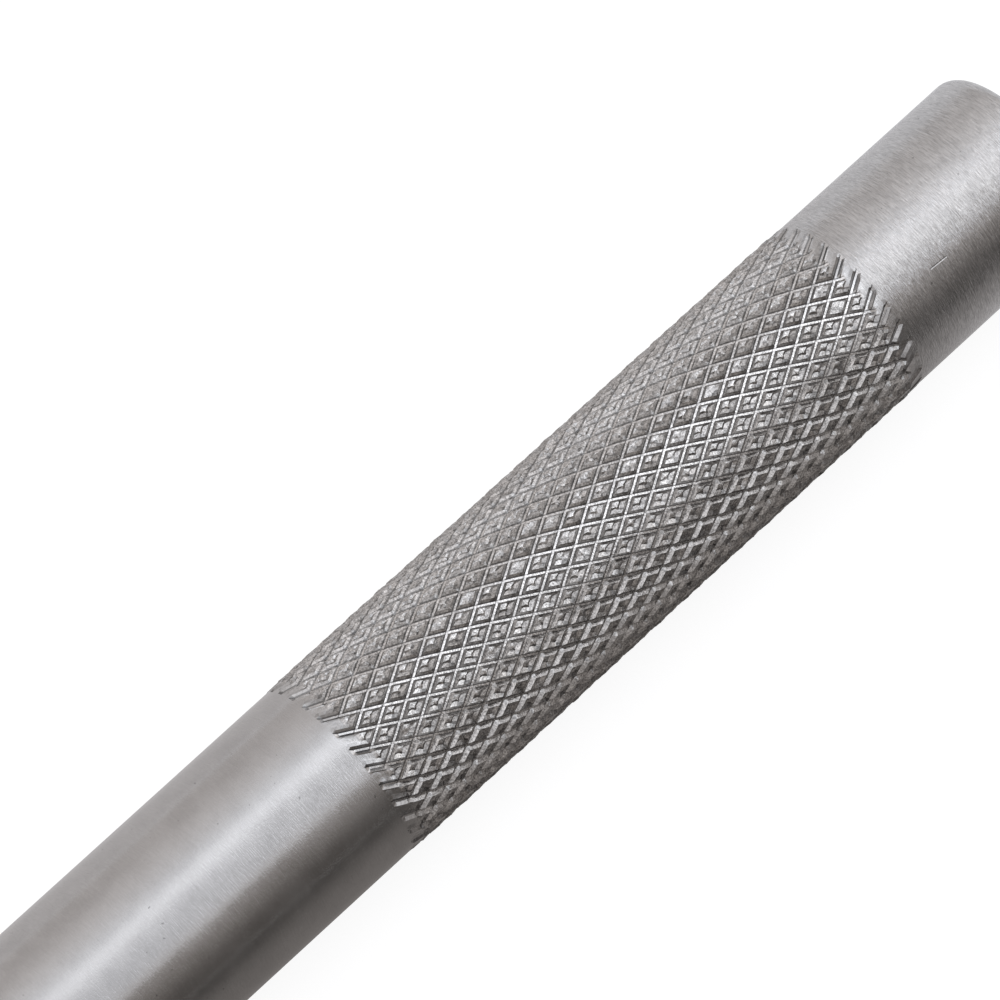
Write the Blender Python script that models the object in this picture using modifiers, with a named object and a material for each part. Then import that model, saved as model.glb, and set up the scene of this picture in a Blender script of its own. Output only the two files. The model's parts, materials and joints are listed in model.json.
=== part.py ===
"""Leather hole punch with an exchangeable screw-in tube, lying on its side.

The tool's axis runs along X, with the strike face towards +X and the cutting edge towards -X. Each
piece is modelled upright, with its own +Z towards the strike face, and hangs on one empty that lies
on the tool's axis where the handle ends.
"""

from math import ceil, cos, floor, pi, radians, sin, tan, tau

import bmesh
import bpy
from mathutils import Matrix, Vector

MM = 0.001

# Handle: a round bar, knurled where the hand holds it
SHANK_DIAMETER = 10.0 * MM
STRIKE_LAND = 11.9 * MM
KNURL_LENGTH = 33.4 * MM
LOWER_SHANK = 36.7 * MM
STRIKE_ROUNDING = 1.0 * MM
SEAT_CHAMFER = 0.4 * MM

# Diamond knurl: grooves rolled into the bar, which push the metal between them up
KNURL_TEETH = 29
KNURL_AXIAL_PITCH = 1.832 * MM
KNURL_RISE = 0.10 * MM
KNURL_DEPTH = 0.22 * MM

# Screw thread between the tube's stud and the handle's socket
THREAD_DIAMETER = 6.0 * MM
THREAD_PITCH = 1.0 * MM
THREAD_DEPTH = 0.6 * MM
THREAD_ENGAGEMENT = 9.0 * MM
THREAD_LEAD_IN = 0.5 * MM
THREAD_CLEARANCE = 0.2 * MM
CREST_FLAT = 0.25 * MM
TAPPING_ALLOWANCE = 0.05 * MM
SOCKET_RELIEF = 2.0 * MM
SOCKET_COUNTERSINK = 0.6 * MM
DRILL_POINT_ANGLE = radians(118)

# Split lock washer
WASHER_WIDTH = 1.4 * MM
WASHER_THICKNESS = 1.6 * MM
WASHER_EDGE = 0.2 * MM
WASHER_SPLIT = 0.9 * MM
WASHER_SPLIT_SLANT = radians(-25)

# Punching tube, below its shoulder
COLLAR_LENGTH = 7.0 * MM
COLLAR_EDGE = 0.4 * MM
TAPER_LENGTH = 8.0 * MM
BARREL_LENGTH = 12.5 * MM
BARREL_DIAMETER = 6.2 * MM
BEVEL_LENGTH = 3.5 * MM
EDGE_LAND = 0.06 * MM
BORE_DIAMETER = 4.0 * MM
BORE_RELIEF = 0.15 * MM
BORE_RELIEF_START = 4.0 * MM
BORE_DEPTH = 18.5 * MM
WINDOW_WIDTH = 3.2 * MM
WINDOW_LENGTH = 11.0 * MM
WINDOW_FROM_EDGE = 8.5 * MM
WINDOW_END_ROUNDING = 1.5 * MM
FLATS_WIDTH = 8.0 * MM
FLATS_FROM_SHOULDER = 1.4 * MM

# Clearance between pieces that touch, and neck of the stud inside the washer
FIT_GAP = 0.3 * MM
NECK_STEP = 0.1 * MM

ROUND_SIDES = 32
ROUNDING_STEPS = 4
WINDOW_END_STEPS = 5
SPARE_TURNS = 1
CUT_MARGIN = 1.0 * MM
WELD = 1e-6
SHARP_ANGLE = radians(30)

# Sizes that follow from those above
SHANK_RADIUS = SHANK_DIAMETER / 2
HANDLE_LENGTH = LOWER_SHANK + KNURL_LENGTH + STRIKE_LAND
GROOVE_RADIUS = SHANK_RADIUS - KNURL_DEPTH
CREST_RADIUS = SHANK_RADIUS + KNURL_RISE
KNURL_ROWS = max(2, round(KNURL_LENGTH / KNURL_AXIAL_PITCH))
TOOTH_ANGLE = tau / KNURL_TEETH
STUD_RADIUS = THREAD_DIAMETER / 2
STUD_ROOT = STUD_RADIUS - THREAD_DEPTH
SOCKET_ROOT = STUD_RADIUS + THREAD_CLEARANCE
SOCKET_CREST = STUD_ROOT + THREAD_CLEARANCE + TAPPING_ALLOWANCE
NECK_RADIUS = STUD_RADIUS + NECK_STEP
NECK_LENGTH = FIT_GAP + WASHER_THICKNESS
STUD_LENGTH = NECK_LENGTH + FIT_GAP + THREAD_ENGAGEMENT
WASHER_BORE = NECK_RADIUS + FIT_GAP
WASHER_RADIUS = WASHER_BORE + WASHER_WIDTH
TUBE_LENGTH = COLLAR_LENGTH + TAPER_LENGTH + BARREL_LENGTH + BEVEL_LENGTH
SHOULDER_Z = -(WASHER_THICKNESS + 2 * FIT_GAP)
TOOL_LENGTH = HANDLE_LENGTH - SHOULDER_Z + TUBE_LENGTH
AXIS_HEIGHT = CREST_RADIUS * cos(TOOTH_ANGLE / 4)


def clear_scene():
    for old in list(bpy.data.objects):
        bpy.data.objects.remove(old, do_unlink=True)


def new_collection(name):
    collection = bpy.data.collections.new(name)
    bpy.context.scene.collection.children.link(collection)
    return collection


def steel(name, colour, roughness):
    material = bpy.data.materials.new(name)
    material.use_nodes = True
    shader = material.node_tree.nodes["Principled BSDF"]
    shader.inputs["Base Color"].default_value = (*colour, 1.0)
    shader.inputs["Metallic"].default_value = 1.0
    shader.inputs["Roughness"].default_value = roughness
    return material


def add_object(name, mesh, collection):
    added = bpy.data.objects.new(name, mesh)
    collection.objects.link(added)
    return added


def as_cutter(cutter):
    cutter.hide_render = True
    cutter.display_type = "WIRE"
    return cutter


def profile_mesh(name, points, closed, turn=0.0):
    """A line of (radius, height) points in the half plane at the angle turn about Z."""
    corners = [(radius * cos(turn), radius * sin(turn), height) for radius, height in points]
    edges = [(index, index + 1) for index in range(len(points) - 1)]
    if closed:
        edges.append((len(points) - 1, 0))
    mesh = bpy.data.meshes.new(name)
    mesh.from_pydata(corners, edges, [])
    return mesh


def turned(name, points, collection, sides=ROUND_SIDES, closed=False, turn=0.0):
    """A profile, from top to bottom down its outer side, turned about Z."""
    piece = add_object(name, profile_mesh(name, points, closed, turn), collection)
    screw = piece.modifiers.new("Turn", "SCREW")
    screw.axis = "Z"
    screw.angle = tau
    screw.steps = sides
    screw.render_steps = sides
    screw.use_merge_vertices = True
    screw.merge_threshold = WELD
    return piece


def evaluated_mesh(piece):
    bpy.context.view_layer.update()
    graph = bpy.context.evaluated_depsgraph_get()
    return bpy.data.meshes.new_from_object(piece.evaluated_get(graph))


def set_radius(points, radius):
    for point in points:
        axis_point = Vector((0.0, 0.0, point.co.z))
        point.co = axis_point + (point.co - axis_point).normalized() * radius


def boolean(piece, operation, cutter, solver="EXACT"):
    modifier = piece.modifiers.new(f"{operation.title()} {cutter.name}", "BOOLEAN")
    modifier.operation = operation
    modifier.solver = solver
    modifier.object = cutter


def finish(piece, material, axis, height):
    """Apply the modifiers, shade the round faces smooth and hang the piece on the axis."""
    shaped = evaluated_mesh(piece)
    piece.modifiers.clear()
    piece.data = shaped
    shaped.shade_smooth()
    shaped.set_sharp_from_angle(angle=SHARP_ANGLE)
    shaped.materials.clear()
    shaped.materials.append(material)
    piece.parent = axis
    piece.location.z = height


def thread_cutter(name, root, crest, bottom, top, seat, collection):
    """A right-hand screw thread about Z between two flat ends, as one closed body.

    A crest passes the angle 0 at the height of the seat, so that threads that share it mesh.
    """
    half_tooth = THREAD_PITCH / 2
    half_flat = CREST_FLAT / 2
    first = floor((bottom - seat) / THREAD_PITCH) - SPARE_TURNS
    last = ceil((top - seat) / THREAD_PITCH) + SPARE_TURNS
    points = []
    for tooth in range(last, first - 1, -1):
        middle = seat + tooth * THREAD_PITCH
        points += [(root, middle + half_tooth), (crest, middle + half_flat), (crest, middle - half_flat)]
    ridge = turned(f"{name}_ridge", points, collection)
    screw = ridge.modifiers["Turn"]
    screw.screw_offset = THREAD_PITCH
    screw.use_merge_vertices = False
    mesh = evaluated_mesh(ridge)
    bpy.data.objects.remove(ridge, do_unlink=True)

    thread = bmesh.new()
    thread.from_mesh(mesh)
    bmesh.ops.remove_doubles(thread, verts=thread.verts, dist=WELD)
    for height, outward in ((bottom, -1), (top, 1)):
        whole = thread.verts[:] + thread.edges[:] + thread.faces[:]
        bmesh.ops.bisect_plane(
            thread, geom=whole, plane_co=(0, 0, height), plane_no=(0, 0, outward), clear_outer=True
        )
    rims = [edge for edge in thread.edges if edge.is_boundary]
    bmesh.ops.holes_fill(thread, edges=rims)
    bmesh.ops.recalc_face_normals(thread, faces=thread.faces)
    if thread.calc_volume(signed=True) < 0:
        bmesh.ops.reverse_faces(thread, faces=thread.faces)
    thread.to_mesh(mesh)
    thread.free()
    return as_cutter(add_object(name, mesh, collection))


def box_cutter(name, size, centre, collection, turn=None):
    box = bmesh.new()
    place = Matrix.Translation(centre) @ (turn or Matrix.Identity(4)) @ Matrix.Diagonal((*size, 1.0))
    bmesh.ops.create_cube(box, size=1.0, matrix=place)
    mesh = bpy.data.meshes.new(name)
    box.to_mesh(mesh)
    box.free()
    return as_cutter(add_object(name, mesh, collection))


def handle_profile():
    """Strike face, rounded corner, land, rings of the knurl, lower shank and seat."""
    points = [(0.0, HANDLE_LENGTH)]
    for step in range(ROUNDING_STEPS + 1):
        angle = pi / 2 * step / ROUNDING_STEPS
        points.append(
            (
                SHANK_RADIUS - STRIKE_ROUNDING * (1 - sin(angle)),
                HANDLE_LENGTH - STRIKE_ROUNDING * (1 - cos(angle)),
            )
        )
    points.append((SHANK_RADIUS, LOWER_SHANK + KNURL_LENGTH))
    row = KNURL_LENGTH / KNURL_ROWS
    for ring in range(KNURL_ROWS - 1, 0, -1):
        points.append((GROOVE_RADIUS, LOWER_SHANK + ring * row))
    points += [
        (SHANK_RADIUS, LOWER_SHANK),
        (SHANK_RADIUS, SEAT_CHAMFER),
        (SHANK_RADIUS - SEAT_CHAMFER, 0.0),
        (0.0, 0.0),
    ]
    return points


def knurled_faces(bar):
    top = LOWER_SHANK + KNURL_LENGTH
    return [face for face in bar.faces if LOWER_SHANK < face.calc_center_median().z < top]


def knurl(mesh):
    """Cross the bar's rings with slanted grooves and raise each diamond between them."""
    bar = bmesh.new()
    bar.from_mesh(mesh)
    band = knurled_faces(bar)
    inside = set(band)
    grid_edges = [edge for edge in bar.edges if set(edge.link_faces) <= inside]
    crossings = bmesh.ops.poke(bar, faces=band)["verts"]
    set_radius(crossings, GROOVE_RADIUS)
    bmesh.ops.dissolve_edges(bar, edges=grid_edges)
    diamonds = [face for face in knurled_faces(bar) if len(face.verts) == 4]
    crests = bmesh.ops.poke(bar, faces=diamonds)["verts"]
    set_radius(crests, CREST_RADIUS)
    bmesh.ops.recalc_face_normals(bar, faces=bar.faces)
    bar.to_mesh(mesh)
    bar.free()


def socket_drill(collection):
    """The tapping hole, with its drill point at the top and a countersunk mouth."""
    depth = THREAD_ENGAGEMENT + SOCKET_RELIEF
    point = SOCKET_CREST / tan(DRILL_POINT_ANGLE / 2)
    mouth = SOCKET_ROOT + SOCKET_COUNTERSINK
    profile = [
        (0.0, depth + point),
        (SOCKET_CREST, depth),
        (SOCKET_CREST, mouth - SOCKET_CREST),
        (mouth + CUT_MARGIN, -CUT_MARGIN),
        (0.0, -CUT_MARGIN),
    ]
    return as_cutter(turned("socket_drill", profile, collection))


def make_handle(parts, cutters, material, axis):
    blank = turned(
        "handle_blank", handle_profile(), cutters, sides=KNURL_TEETH, turn=TOOTH_ANGLE / 4
    )
    mesh = evaluated_mesh(blank)
    bpy.data.objects.remove(blank, do_unlink=True)
    knurl(mesh)
    handle = add_object("handle", mesh, parts)
    drill = socket_drill(cutters)
    socket_thread = thread_cutter(
        "socket_thread",
        SOCKET_ROOT - THREAD_DEPTH,
        SOCKET_ROOT,
        -CUT_MARGIN,
        THREAD_ENGAGEMENT + SOCKET_RELIEF / 2,
        0.0,
        cutters,
    )
    for cutter in (drill, socket_thread):
        cutter.parent = handle
        boolean(handle, "DIFFERENCE", cutter, solver="MANIFOLD")
    finish(handle, material, axis, 0.0)


def make_lock_washer(parts, cutters, material, axis):
    half = WASHER_THICKNESS / 2
    section = [
        (WASHER_BORE + WASHER_EDGE, half),
        (WASHER_RADIUS - WASHER_EDGE, half),
        (WASHER_RADIUS, half - WASHER_EDGE),
        (WASHER_RADIUS, WASHER_EDGE - half),
        (WASHER_RADIUS - WASHER_EDGE, -half),
        (WASHER_BORE + WASHER_EDGE, -half),
        (WASHER_BORE, WASHER_EDGE - half),
        (WASHER_BORE, half - WASHER_EDGE),
    ]
    washer = turned("lock_washer", section, parts, closed=True)
    size = (WASHER_RADIUS, WASHER_SPLIT, 3 * WASHER_THICKNESS)
    centre = (-(WASHER_BORE + WASHER_RADIUS) / 2, 0.0, 0.0)
    slant = Matrix.Rotation(WASHER_SPLIT_SLANT, 4, "X")
    split = box_cutter("washer_split", size, centre, cutters, slant)
    split.parent = washer
    boolean(washer, "DIFFERENCE", split)
    finish(washer, material, axis, -FIT_GAP - half)


def tube_profile():
    """From the top of the neck down the outside to the edge, then up the bore."""
    collar = SHANK_RADIUS
    barrel = BARREL_DIAMETER / 2
    bore = BORE_DIAMETER / 2
    relieved = bore + BORE_RELIEF
    taper_end = -COLLAR_LENGTH - TAPER_LENGTH
    bevel_start = taper_end - BARREL_LENGTH
    edge = -TUBE_LENGTH
    bore_end = edge + BORE_DEPTH
    return [
        (0.0, NECK_LENGTH),
        (NECK_RADIUS, NECK_LENGTH),
        (NECK_RADIUS, 0.0),
        (collar - COLLAR_EDGE, 0.0),
        (collar, -COLLAR_EDGE),
        (collar, -COLLAR_LENGTH),
        (barrel, taper_end),
        (barrel, bevel_start),
        (bore + EDGE_LAND, edge),
        (bore, edge),
        (bore, edge + BORE_RELIEF_START),
        (relieved, edge + BORE_RELIEF_START + BORE_RELIEF),
        (relieved, bore_end),
        (0.0, bore_end + relieved),
    ]


def stud_thread(collection):
    """The stud's thread, rooted in the neck, with a chamfer at its free end."""
    bottom = NECK_LENGTH / 2
    thread = thread_cutter(
        "stud_thread", STUD_ROOT, STUD_RADIUS, bottom, STUD_LENGTH, -SHOULDER_Z, collection
    )
    profile = [
        (0.0, STUD_LENGTH + CUT_MARGIN),
        (STUD_RADIUS - THREAD_LEAD_IN - CUT_MARGIN, STUD_LENGTH + CUT_MARGIN),
        (STUD_RADIUS + CUT_MARGIN, STUD_LENGTH - THREAD_LEAD_IN - CUT_MARGIN),
        (STUD_RADIUS + CUT_MARGIN, -CUT_MARGIN),
        (0.0, -CUT_MARGIN),
    ]
    envelope = as_cutter(turned("stud_envelope", profile, collection))
    boolean(thread, "INTERSECT", envelope, solver="MANIFOLD")
    return [thread, envelope]


def window_cutter(collection):
    """A slot with round ends, from the bore's axis out through one side."""
    window = bmesh.new()
    centre = Vector((-SHANK_DIAMETER / 2, 0.0, WINDOW_FROM_EDGE + WINDOW_LENGTH / 2 - TUBE_LENGTH))
    size = (SHANK_DIAMETER, WINDOW_WIDTH, WINDOW_LENGTH, 1.0)
    place = Matrix.Translation(centre) @ Matrix.Diagonal(size)
    bmesh.ops.create_cube(window, size=1.0, matrix=place)
    corners = [edge for edge in window.edges if abs(edge.verts[0].co.x - edge.verts[1].co.x) > WELD]
    rounding = min(WINDOW_END_ROUNDING, WINDOW_WIDTH / 2 - WELD)
    bmesh.ops.bevel(
        window, geom=corners, offset=rounding, segments=WINDOW_END_STEPS, profile=0.5, affect="EDGES"
    )
    mesh = bpy.data.meshes.new("window")
    window.to_mesh(mesh)
    window.free()
    return as_cutter(add_object("window", mesh, collection))


def flat_cutters(collection):
    """Two blocks that leave the wrench flats, which run out on the taper."""
    depth = SHANK_DIAMETER - FLATS_WIDTH
    length = COLLAR_LENGTH + TAPER_LENGTH - FLATS_FROM_SHOULDER
    size = (2 * SHANK_DIAMETER, depth, length)
    height = -FLATS_FROM_SHOULDER - length / 2
    blocks = []
    for name, side in (("flat_left", 1), ("flat_right", -1)):
        centre = (0.0, side * (FLATS_WIDTH + depth) / 2, height)
        blocks.append(box_cutter(name, size, centre, collection))
    return blocks


def make_punch_tube(parts, cutters, material, axis):
    tube = turned("punch_tube", tube_profile(), parts)
    thread, envelope = stud_thread(cutters)
    cuts = [window_cutter(cutters), *flat_cutters(cutters)]
    for cutter in cuts:
        boolean(tube, "DIFFERENCE", cutter)
    boolean(tube, "UNION", thread, solver="MANIFOLD")
    for helper in (thread, envelope, *cuts):
        helper.parent = tube
    finish(tube, material, axis, SHOULDER_Z)


def main():
    clear_scene()
    parts = new_collection("leather_hole_punch")
    cutters = new_collection("cutters")
    axis = add_object("tool_axis", None, parts)
    axis.location = (TOOL_LENGTH / 2 - HANDLE_LENGTH, 0.0, AXIS_HEIGHT)
    axis.rotation_euler = (0.0, pi / 2, 0.0)
    make_handle(parts, cutters, steel("turned_steel", (0.56, 0.55, 0.54), 0.35), axis)
    make_lock_washer(parts, cutters, steel("spring_steel", (0.36, 0.35, 0.34), 0.4), axis)
    make_punch_tube(parts, cutters, steel("tool_steel", (0.60, 0.59, 0.58), 0.3), axis)


main()
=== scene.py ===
"""Looks of the leather hole punch: turned and knurled handle, split washer and screw-in tube.

The tool's axis runs along X at the height that the record gives, with the strike face towards +X.
Angles about the axis count from straight up towards -Y.
"""

import json
from math import acos, ceil, cos, floor, pi, radians, sin, tan, tau

import bpy
import numpy as np
from mathutils import Matrix, Vector


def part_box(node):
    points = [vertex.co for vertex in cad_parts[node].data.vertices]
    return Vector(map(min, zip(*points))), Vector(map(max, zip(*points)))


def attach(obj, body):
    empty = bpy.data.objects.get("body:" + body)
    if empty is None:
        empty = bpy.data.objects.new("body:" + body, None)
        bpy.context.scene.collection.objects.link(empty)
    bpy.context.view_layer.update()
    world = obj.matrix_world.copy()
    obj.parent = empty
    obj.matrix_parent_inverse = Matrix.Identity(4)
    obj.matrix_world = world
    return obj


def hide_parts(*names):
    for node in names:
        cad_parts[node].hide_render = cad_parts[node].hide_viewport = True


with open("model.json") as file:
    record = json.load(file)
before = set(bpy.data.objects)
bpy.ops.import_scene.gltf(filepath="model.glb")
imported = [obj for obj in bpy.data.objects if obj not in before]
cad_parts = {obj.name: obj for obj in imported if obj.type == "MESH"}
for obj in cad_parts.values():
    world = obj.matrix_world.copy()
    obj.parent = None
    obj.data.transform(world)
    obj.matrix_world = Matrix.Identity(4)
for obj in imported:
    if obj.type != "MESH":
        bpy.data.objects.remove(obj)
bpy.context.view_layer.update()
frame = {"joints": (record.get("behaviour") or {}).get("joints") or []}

MM = 0.001
WELD = 1e-6
SMOOTH_ANGLE = radians(24)

# How far cutting tools reach past a face, and the rounding of a broken edge
PAST = 1.0 * MM
BROKEN_EDGE = 0.1 * MM

# Places that the frame gives
TUBE_TURN = next(joint for joint in frame["joints"] if joint["name"] == "tube_turn")
AXIS_HEIGHT = TUBE_TURN["pos_m"][2]
AXIS_POINT = Vector((0.0, 0.0, AXIS_HEIGHT))
STRIKE_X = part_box("handle")[1].x
SEAT_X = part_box("handle")[0].x
WASHER_TOP_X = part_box("lock_washer")[1].x
WASHER_END_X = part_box("lock_washer")[0].x
STUD_END_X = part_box("punch_tube")[1].x
SHOULDER_X = TUBE_TURN["pos_m"][0]
EDGE_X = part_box("punch_tube")[0].x

# Handle
SHANK_RADIUS = 5.0 * MM
STRIKE_ROUNDING = 0.85 * MM
SEAT_CHAMFER = 0.4 * MM
ROUND_STEPS = 116

# Diamond knurl, rolled by two wheels that lean opposite ways
KNURL_TEETH = 29
KNURL_PITCH = 1.8312 * MM
CROSSING_X = STRIKE_X - 29.378 * MM
CROSSING_ANGLE = radians(23.53)
KNURL_TIP_X = 11.75 * MM
WHEEL_WIDTH = 33.4 * MM
WHEEL_OFFSET = 0.7 * MM
RUN_OUT = 0.2 * MM
KNURL_MARGIN = 0.3 * MM

# Shares of the way from one groove to the next where the height turns, and the heights there:
# up from a groove to the flat top, down from the top to the next groove, and beside a lone groove
GROOVE_SHARES = (0.055, 0.21, 0.27, 0.385, 0.5, 0.6, 0.785, 0.945)
RISE_SHARES = (0.055, 0.21, 0.27)
RISE_HEIGHTS = (-0.115 * MM, 0.065 * MM, 0.085 * MM)
FALL_SHARES = (0.27, 0.5, 0.785, 0.945)
FALL_HEIGHTS = (0.085 * MM, 0.062 * MM, 0.045 * MM, -0.115 * MM)
LONE_SHARES = (0.055, 0.21, 0.27, 0.6, 0.785, 0.945)
LONE_HEIGHTS = (-0.115 * MM, 0.03 * MM, 0.0, 0.0, 0.03 * MM, -0.115 * MM)

# A second, shallow track below each flat top, which fades out towards the groove above it
TRACK_SHARES = (0.5, 0.6, 0.785)
TRACK_DEPTH = 0.07 * MM
TRACK_FADE = (0.2, 0.29)

# The flat tops, whose sides are hollow, and how much one diamond differs from the next
TOP_MIDDLE = 0.385
TOP_CORE = 0.05
TOP_HOLLOW = 0.045
TRACK_SPREAD = 0.3
TOP_SPREAD = 0.006 * MM
TOP_TILT = 4
UNEVENNESS = 0.0012 * MM
TRACK_UNEVENNESS = 0.005 * MM
WANDER = 0.012
DIAMOND_SHARES = (0.15, 0.85)
SHARE_SLACK = 0.01
SPREAD_ROWS = 64
ROLL_SEED = 7

# Straight bar between the knurl and the turned ends
BRIDGE_LENGTH = 0.1 * MM

# How much darker painted shade makes the steps, top edges, tracks and flanks than plain steel,
# how much brighter burnish and a painted highlight make the grooves, and how uneven the stains and
# the painted shade are
STEP_PAINTED_SHADE = 0.28
EDGE_PAINTED_SHADE = 0.14
TRACK_PAINTED_SHADE = 0.14
FALL_PAINTED_SHADE = 0.28
RISE_PAINTED_SHADE = 0.36
GROOVE_BURNISH_AND_HIGHLIGHT = 0.1
STAINING = 0.045
TRACK_SHADE_SPREAD = (0.3, 1.7)
CORNER_PAINTED_SHADE = 2
STAIN_AND_SHADE_SEED = 3

# A thin line of painted shade at the foot of each fall
SHADE_LINE_SHARES = (0.865, 0.9, 0.94, 0.958)
SHADE_LINE_DARK = 0.56

# Thread
THREAD_PITCH = 1.0 * MM
THREAD_STEPS = 72
CREST_FLAT = 0.25 * MM
ROOT_FLAT = 0.1 * MM
STUD_RADIUS = 3.0 * MM
STUD_ROOT = 2.4 * MM
STUD_LEAD_IN = 0.5 * MM
SOCKET_ROOT = 3.2 * MM
SOCKET_CREST = 2.65 * MM
SOCKET_DEPTH = 11.0 * MM
SOCKET_THREAD_DEPTH = 10.0 * MM
SOCKET_MOUTH = 3.8 * MM
TAP_OVERLAP = 0.1 * MM
DRILL_POINT = radians(118)
NECK_RADIUS = 3.1 * MM
NECK_EDGE = 0.08 * MM

# Split washer
WASHER_RADIUS = 4.8 * MM
WASHER_BORE = 3.4 * MM
WASHER_EDGE = 0.2 * MM
WASHER_SPLIT = 0.9 * MM
WASHER_SLANT = radians(25)
WASHER_STEPS = 120
SEAT_GAP = 0.05 * MM

# Punch tube
COLLAR_LENGTH = 7.0 * MM
COLLAR_EDGE = 0.4 * MM
COLLAR_ROUNDING = 0.12 * MM
TAPER_LENGTH = 8.0 * MM
TAPER_ROUNDING = 1.2 * MM
BARREL_RADIUS = 3.1 * MM
BARREL_ROUNDING = 6.0 * MM
BEVEL_LENGTH = 3.5 * MM
BEVEL_ROUNDING = 0.25 * MM
EDGE_LAND = 0.06 * MM
BORE_RADIUS = 2.0 * MM
BORE_RELIEF = 0.15 * MM
BORE_RELIEF_START = 4.0 * MM
BORE_DEPTH = 18.5 * MM
BORE_END_ROUNDING = 0.2 * MM
WINDOW_WIDTH = 3.2 * MM
WINDOW_LENGTH = 11.0 * MM
WINDOW_FROM_EDGE = 8.5 * MM
WINDOW_ROUNDING = 1.5 * MM
FLATS_WIDTH = 8.0 * MM
FLATS_FROM_SHOULDER = 1.4 * MM
TUBE_STEPS = 96


def deselect_all():
    bpy.ops.object.select_all(action="DESELECT")


def make_active(piece):
    deselect_all()
    piece.select_set(True)
    bpy.context.view_layer.objects.active = piece


def start_edit(piece, mode="VERT"):
    make_active(piece)
    bpy.ops.object.mode_set(mode="EDIT")
    bpy.ops.mesh.select_mode(type=mode)
    bpy.ops.mesh.select_all(action="DESELECT")


def end_edit():
    bpy.ops.object.mode_set(mode="OBJECT")


def apply(piece, kind, **settings):
    make_active(piece)
    modifier = piece.modifiers.new(kind.title(), kind)
    for name, value in settings.items():
        setattr(modifier, name, value)
    bpy.ops.object.modifier_apply(modifier=modifier.name)


def cut(piece, tool, operation="DIFFERENCE"):
    """Cuts a piece with a closed tool, or joins them, and puts the tool away."""
    apply(piece, "BOOLEAN", operation=operation, solver="MANIFOLD", object=tool)
    bpy.data.objects.remove(tool, do_unlink=True)


def make_block(size, place, turn=0.0):
    """A block with its middle at a place, turned about its upright axis."""
    deselect_all()
    bpy.ops.mesh.primitive_cube_add(size=1.0)
    block = bpy.context.object
    block.scale = size
    block.rotation_euler.z = turn
    block.location = place
    bpy.ops.object.transform_apply()
    return block


def weld(piece):
    start_edit(piece)
    bpy.ops.mesh.select_all(action="SELECT")
    bpy.ops.mesh.remove_doubles(threshold=WELD)
    bpy.ops.mesh.normals_make_consistent(inside=False)
    end_edit()


def rounded(corners, steps=5, closed=False):
    """(along, radius) points of a turned outline, from corners that each have a rounding."""
    points = []
    for index, (along, radius, size) in enumerate(corners):
        here = Vector((along, radius))
        is_end = index in (0, len(corners) - 1) and not closed
        if size == 0 or is_end:
            points.append(tuple(here))
            continue
        before = Vector(corners[index - 1][:2])
        after = Vector(corners[(index + 1) % len(corners)][:2])
        back = (before - here).normalized()
        ahead = (after - here).normalized()
        turn = pi - acos(max(-1.0, min(1.0, back.dot(ahead))))
        reach = size * tan(turn / 2)
        pull = cos(turn / 2)
        for step in range(steps + 1):
            s = step / steps
            shares = ((1 - s) ** 2, 2 * s * (1 - s) * pull, s ** 2)
            place = (here + back * reach) * shares[0] + here * shares[1] + (here + ahead * reach) * shares[2]
            points.append(tuple(place / sum(shares)))
    return points


def draw_line(name, outline, closed=False):
    """A chain of edges above the axis, drawn point by point from one merged vertex."""
    deselect_all()
    bpy.ops.mesh.primitive_plane_add(size=MM, location=(0.0, 0.0, 0.0))
    piece = bpy.context.object
    piece.name = piece.data.name = name
    start_edit(piece)
    bpy.ops.mesh.select_all(action="SELECT")
    bpy.ops.mesh.merge(type="CENTER")
    here = Vector()
    for index, (along, radius) in enumerate(outline):
        there = AXIS_POINT + Vector((along, 0.0, radius))
        if index == 0:
            bpy.ops.transform.translate(value=there)
        else:
            bpy.ops.mesh.extrude_vertices_move(TRANSFORM_OT_translate={"value": there - here})
        here = there
    end_edit()
    if closed:
        ends = (0, len(piece.data.vertices) - 1)
        for vertex in piece.data.vertices:
            vertex.select = vertex.index in ends
        bpy.ops.object.mode_set(mode="EDIT")
        bpy.ops.mesh.edge_face_add()
        end_edit()
    return piece


def turn_on_lathe(name, outline, steps=ROUND_STEPS):
    """A turned piece: its outline, spun about the tool's axis."""
    piece = draw_line(name, outline)
    start_edit(piece)
    bpy.ops.mesh.select_all(action="SELECT")
    bpy.ops.mesh.spin(steps=steps, angle=tau, center=AXIS_POINT, axis=(1, 0, 0))
    end_edit()
    weld(piece)
    return piece


def wind(piece, rise, angle, steps):
    """Winds a line about the tool's axis, rising along it as a screw does."""
    bpy.context.scene.cursor.location = AXIS_POINT
    make_active(piece)
    bpy.ops.object.origin_set(type="ORIGIN_CURSOR")
    apply(piece, "SCREW", axis="X", angle=angle, screw_offset=rise, steps=steps, render_steps=steps)
    bpy.ops.object.transform_apply()


def slice_at(piece, along, outward=0, fill=False):
    """Adds a ring of edges at a place along the axis, or cuts off what lies outward of it."""
    start_edit(piece)
    bpy.ops.mesh.select_all(action="SELECT")
    bpy.ops.mesh.bisect(
        plane_co=(along, 0, 0),
        plane_no=(outward or 1, 0, 0),
        clear_outer=outward != 0,
        use_fill=fill,
        threshold=WELD,
    )
    end_edit()


def wind_thread(name, root, crest, low, high):
    """A right-hand screw with a crest under the axis at the seat, cut flat at both ends."""
    start = SEAT_X + THREAD_PITCH / 2
    outline = []
    for tooth in range(floor((low - start) / THREAD_PITCH) - 1, ceil((high - start) / THREAD_PITCH) + 2):
        middle = start + tooth * THREAD_PITCH
        outline += [
            (middle - CREST_FLAT / 2, crest),
            (middle + CREST_FLAT / 2, crest),
            (middle + THREAD_PITCH / 2 - ROOT_FLAT / 2, root),
            (middle + THREAD_PITCH / 2 + ROOT_FLAT / 2, root),
        ]
    thread = draw_line(name, outline)
    wind(thread, THREAD_PITCH, tau, THREAD_STEPS)
    weld(thread)
    slice_at(thread, low, -1, fill=True)
    slice_at(thread, high, 1, fill=True)
    weld(thread)
    return thread


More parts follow.
